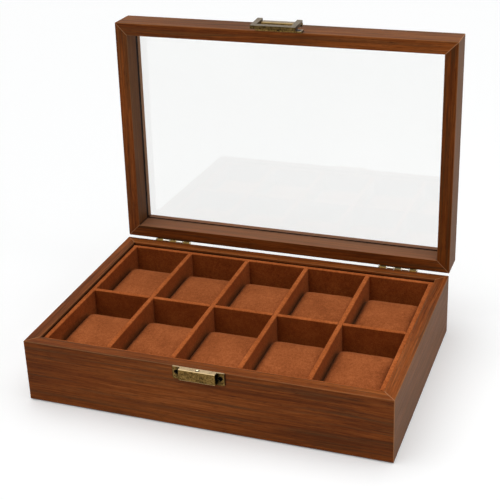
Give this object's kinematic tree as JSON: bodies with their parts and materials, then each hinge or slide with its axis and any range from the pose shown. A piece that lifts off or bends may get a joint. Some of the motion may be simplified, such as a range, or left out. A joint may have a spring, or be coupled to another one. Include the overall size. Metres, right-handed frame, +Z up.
{
  "type": "pocket watch display box",
  "caption": "Wooden pocket watch display box with an open glass lid, a suede-lined tray of compartments with lift-out cushions, butt hinges and a loop clasp.",
  "frame": {"origin": "middle of the underside of the case, on the table", "axes": "+X to the right along the front, +Y from the front to the hinges, +Z up"},
  "size_m": [0.3, 0.2414, 0.2672],
  "materials": {
    "walnut": "satin lacquer",
    "plywood": "raw",
    "felt": "felt",
    "suede": "suede",
    "cushion_suede": "suede",
    "clear_glass": "clear",
    "antique_brass": "aged, brushed",
    "dark_brass": "dark patina",
    "steel": "polished"
  },
  "bodies": {
    "base": {"bottom_felt": "felt", "floor_board": "plywood", "base_front_wall": "walnut", "base_right_wall": "walnut", "base_back_wall": "walnut", "base_left_wall": "walnut", "tray_floor": "suede", "tray_front_board": "suede", "tray_right_board": "suede", "tray_back_board": "suede", "tray_left_board": "suede", "long_divider": "suede", "cross_divider_1": "suede", "cross_divider_2": "suede", "cross_divider_3": "suede", "cross_divider_4": "suede", "left_hinge_base_leaf": "antique_brass", "left_hinge_pin": "antique_brass", "right_hinge_base_leaf": "antique_brass", "right_hinge_pin": "antique_brass", "hinge_base_screws": "dark_brass", "clasp_catch": "antique_brass", "catch_screws": "dark_brass", "ball_spring": "steel"},
    "lid": {"lid_front_rail": "walnut", "lid_right_rail": "walnut", "lid_back_rail": "walnut", "lid_left_rail": "walnut", "glass_pane": "clear_glass", "left_hinge_lid_leaf": "antique_brass", "right_hinge_lid_leaf": "antique_brass", "hinge_lid_screws": "dark_brass", "clasp_plate": "antique_brass", "plate_screws": "dark_brass", "clasp_pin": "antique_brass"},
    "clasp_loop": {"clasp_loop": "antique_brass"},
    "catch_ball": {"catch_ball": "steel"},
    "cushion_1": {"cushion_1": "cushion_suede"},
    "cushion_2": {"cushion_2": "cushion_suede"},
    "cushion_3": {"cushion_3": "cushion_suede"},
    "cushion_4": {"cushion_4": "cushion_suede"},
    "cushion_5": {"cushion_5": "cushion_suede"},
    "cushion_6": {"cushion_6": "cushion_suede"},
    "cushion_7": {"cushion_7": "cushion_suede"},
    "cushion_8": {"cushion_8": "cushion_suede"},
    "cushion_9": {"cushion_9": "cushion_suede"},
    "cushion_10": {"cushion_10": "cushion_suede"}
  },
  "joints": [
    {"name": "lid_hinge", "type": "hinge", "parent": "base", "child": "lid", "pos_m": [0, 0.1022, 0.05457], "axis": [-1, 0, 0], "range_deg": [-91.5, 0]},
    {"name": "loop_hinge", "type": "hinge", "parent": "lid", "child": "clasp_loop", "pos_m": [0, 0.11121, 0.26391], "axis": [-1, 0, 0], "range_deg": [-12.5, 150]},
    {"name": "ball_slide", "type": "slide", "parent": "base", "child": "catch_ball", "axis": [0, 0, 1], "range_m": [-0.0009, 0], "stiffness_N_per_m": 200, "springref_m": 0.001, "deforming": ["ball_spring"]},
    {"name": "cushion_1_lift", "type": "slide", "parent": "base", "child": "cushion_1", "axis": [0, 0, 1], "range_m": [0, 0.05]},
    {"name": "cushion_2_lift", "type": "slide", "parent": "base", "child": "cushion_2", "axis": [0, 0, 1], "range_m": [0, 0.05]},
    {"name": "cushion_3_lift", "type": "slide", "parent": "base", "child": "cushion_3", "axis": [0, 0, 1], "range_m": [0, 0.05]},
    {"name": "cushion_4_lift", "type": "slide", "parent": "base", "child": "cushion_4", "axis": [0, 0, 1], "range_m": [0, 0.05]},
    {"name": "cushion_5_lift", "type": "slide", "parent": "base", "child": "cushion_5", "axis": [0, 0, 1], "range_m": [0, 0.05]},
    {"name": "cushion_6_lift", "type": "slide", "parent": "base", "child": "cushion_6", "axis": [0, 0, 1], "range_m": [0, 0.05]},
    {"name": "cushion_7_lift", "type": "slide", "parent": "base", "child": "cushion_7", "axis": [0, 0, 1], "range_m": [0, 0.05]},
    {"name": "cushion_8_lift", "type": "slide", "parent": "base", "child": "cushion_8", "axis": [0, 0, 1], "range_m": [0, 0.05]},
    {"name": "cushion_9_lift", "type": "slide", "parent": "base", "child": "cushion_9", "axis": [0, 0, 1], "range_m": [0, 0.05]},
    {"name": "cushion_10_lift", "type": "slide", "parent": "base", "child": "cushion_10", "axis": [0, 0, 1], "range_m": [0, 0.05]}
  ]
}
